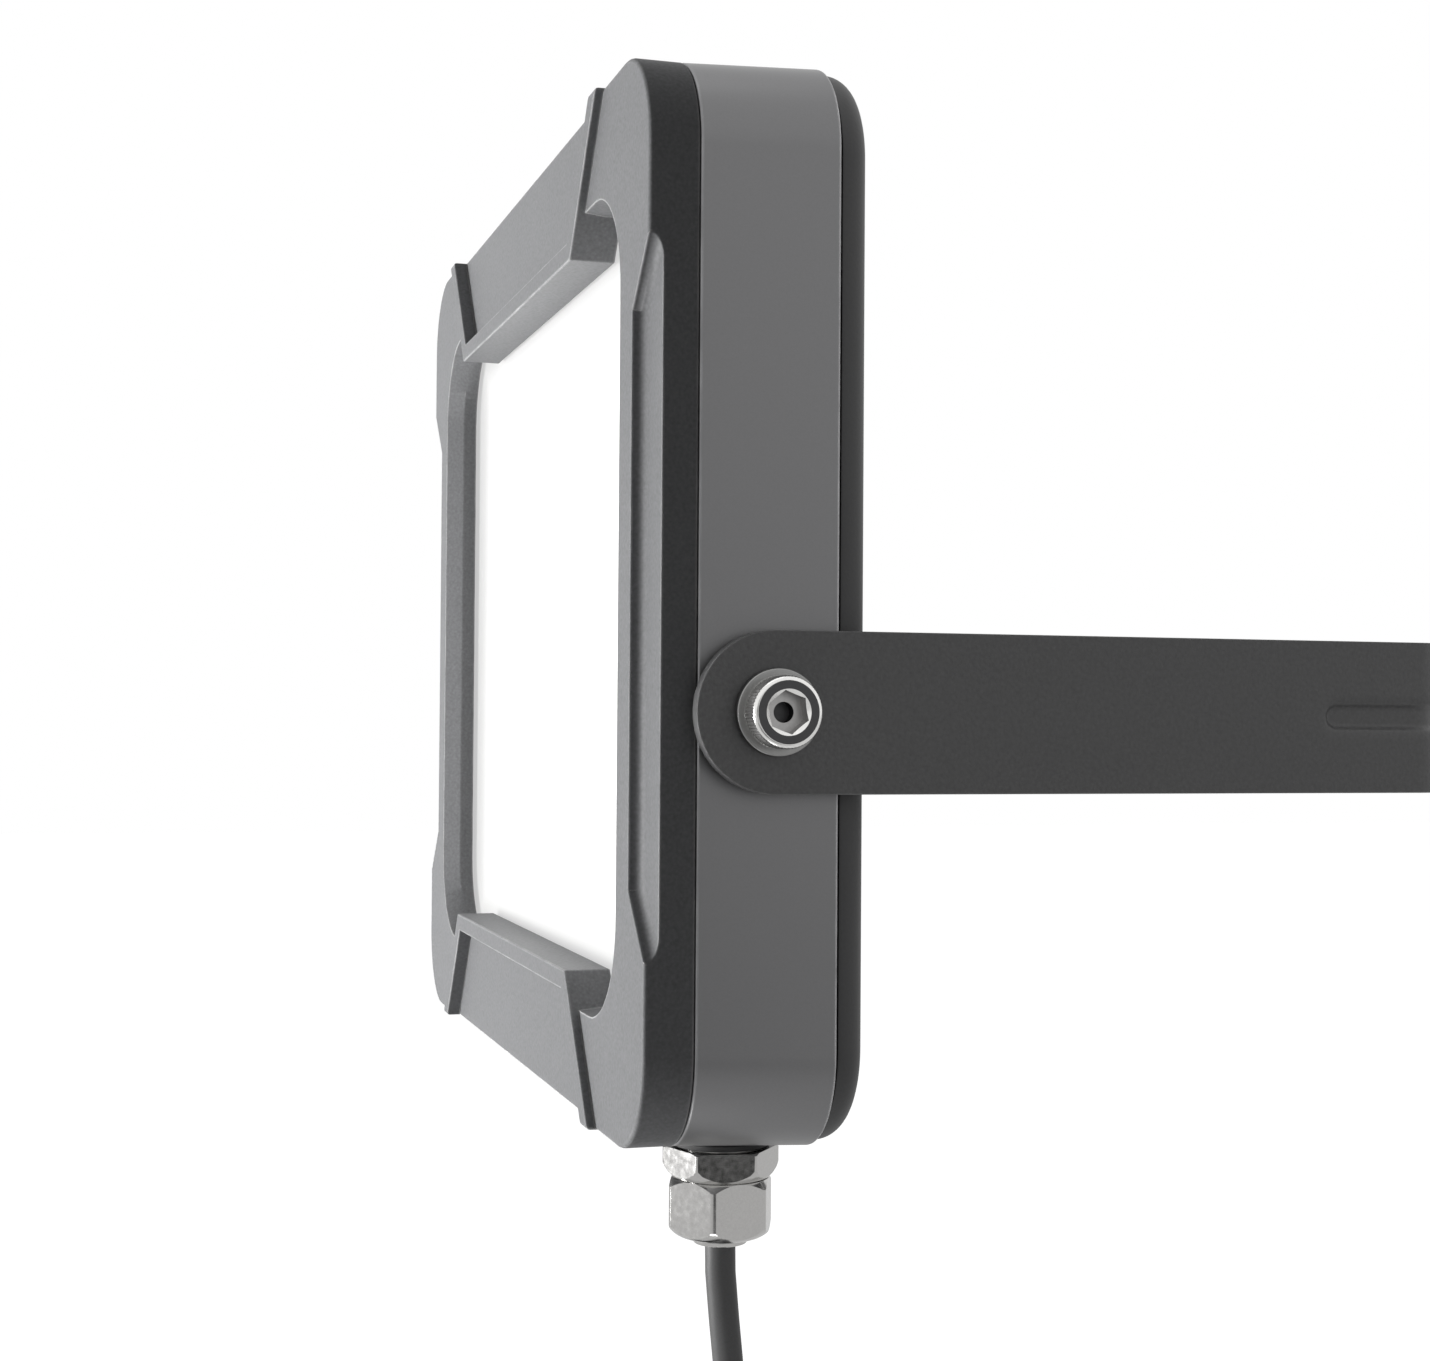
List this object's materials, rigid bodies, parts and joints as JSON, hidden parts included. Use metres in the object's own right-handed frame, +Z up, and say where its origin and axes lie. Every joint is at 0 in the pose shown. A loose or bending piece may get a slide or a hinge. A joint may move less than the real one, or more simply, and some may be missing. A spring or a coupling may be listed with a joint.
{
  "type": "led wall spotlight",
  "caption": "Flat rectangular LED wall spotlight that tilts on a U-shaped strap bracket, with an opal window, side pivot screws, a cable gland and a tied coil of supply lead.",
  "frame": {"origin": "centre of the bracket crossbar's face that lies on the wall, at the height of the tilt axis", "axes": "+X along the head's width and the tilt axis, to the side of the cable gland; -Y out of the wall, the way the light shines at rest; +Y into the wall; +Z up"},
  "size_m": [0.2712, 0.1702, 0.3616],
  "materials": {
    "anthracite_cast": "matte",
    "satin_grey_housing": "satin",
    "black_textured_cover": "matte",
    "black_textured_strap": "matte",
    "opal_diffuser": "satin",
    "stainless_steel": "satin",
    "nickel_plated_brass": "satin",
    "brass": "satin",
    "bare_aluminium": "satin",
    "black_rubber": "matte",
    "white_reflector": "satin",
    "white_circuit_board": "matte",
    "green_circuit_board": "satin",
    "black_plastic": "satin",
    "natural_nylon": "satin",
    "yellow_winding_tape": "satin",
    "blue_can_sleeve": "satin",
    "brown_core": "satin",
    "blue_core": "satin",
    "green_yellow_core": "satin"
  },
  "bodies": {
    "bracket": {"mounting_bracket": "black_textured_strap"},
    "head": {"front_bezel": "anthracite_cast", "bezel_gasket": "black_rubber", "lens_gasket": "black_rubber", "diffuser_lens": "opal_diffuser", "housing_ring": "satin_grey_housing", "rear_cover": "black_textured_cover", "rear_cover_gasket": "black_rubber", "reflector_tray": "white_reflector", "led_board": "white_circuit_board", "heat_spreader_plate": "bare_aluminium", "driver_tray": "bare_aluminium", "driver_board": "green_circuit_board", "driver_transformer": "yellow_winding_tape", "driver_capacitor": "blue_can_sleeve", "terminal_block": "natural_nylon", "gland_o_ring": "black_rubber", "gland_body": "nickel_plated_brass", "gland_locknut": "nickel_plated_brass", "gland_seal": "black_rubber", "gland_dome_nut": "nickel_plated_brass", "cord_inner_end": "black_rubber", "supply_core_live": "brown_core", "supply_core_neutral": "blue_core", "supply_core_earth": "green_yellow_core", "led_lead_plus": "black_rubber", "led_lead_minus": "black_rubber", "supply_cord": "black_rubber", "supply_cord_coil": "black_rubber", "cord_tie": "black_plastic", "core_end_live": "brown_core", "core_end_neutral": "blue_core", "core_end_earth": "green_yellow_core", "ferrule_live": "natural_nylon", "ferrule_neutral": "natural_nylon", "ferrule_earth": "natural_nylon", "case_screw_1": "stainless_steel", "case_screw_2": "stainless_steel", "case_screw_3": "stainless_steel", "case_screw_4": "stainless_steel", "case_screw_5": "stainless_steel", "case_screw_6": "stainless_steel", "module_screw_1": "stainless_steel", "module_screw_2": "stainless_steel", "module_screw_3": "stainless_steel", "module_screw_4": "stainless_steel", "driver_screw_1": "stainless_steel", "driver_screw_2": "stainless_steel", "terminal_screw_1": "brass", "terminal_screw_2": "brass", "terminal_screw_3": "brass", "pivot_insert_right": "brass", "friction_washer_right": "black_plastic", "pivot_washer_right": "stainless_steel", "pivot_screw_right": "stainless_steel", "pivot_insert_left": "brass", "friction_washer_left": "black_plastic", "pivot_washer_left": "stainless_steel", "pivot_screw_left": "stainless_steel"}
  },
  "joints": [
    {"name": "head_tilt", "type": "hinge", "parent": "bracket", "child": "head", "pos_m": [0, -0.145, 0], "axis": [1, 0, 0], "range_deg": [-118, 62]}
  ]
}
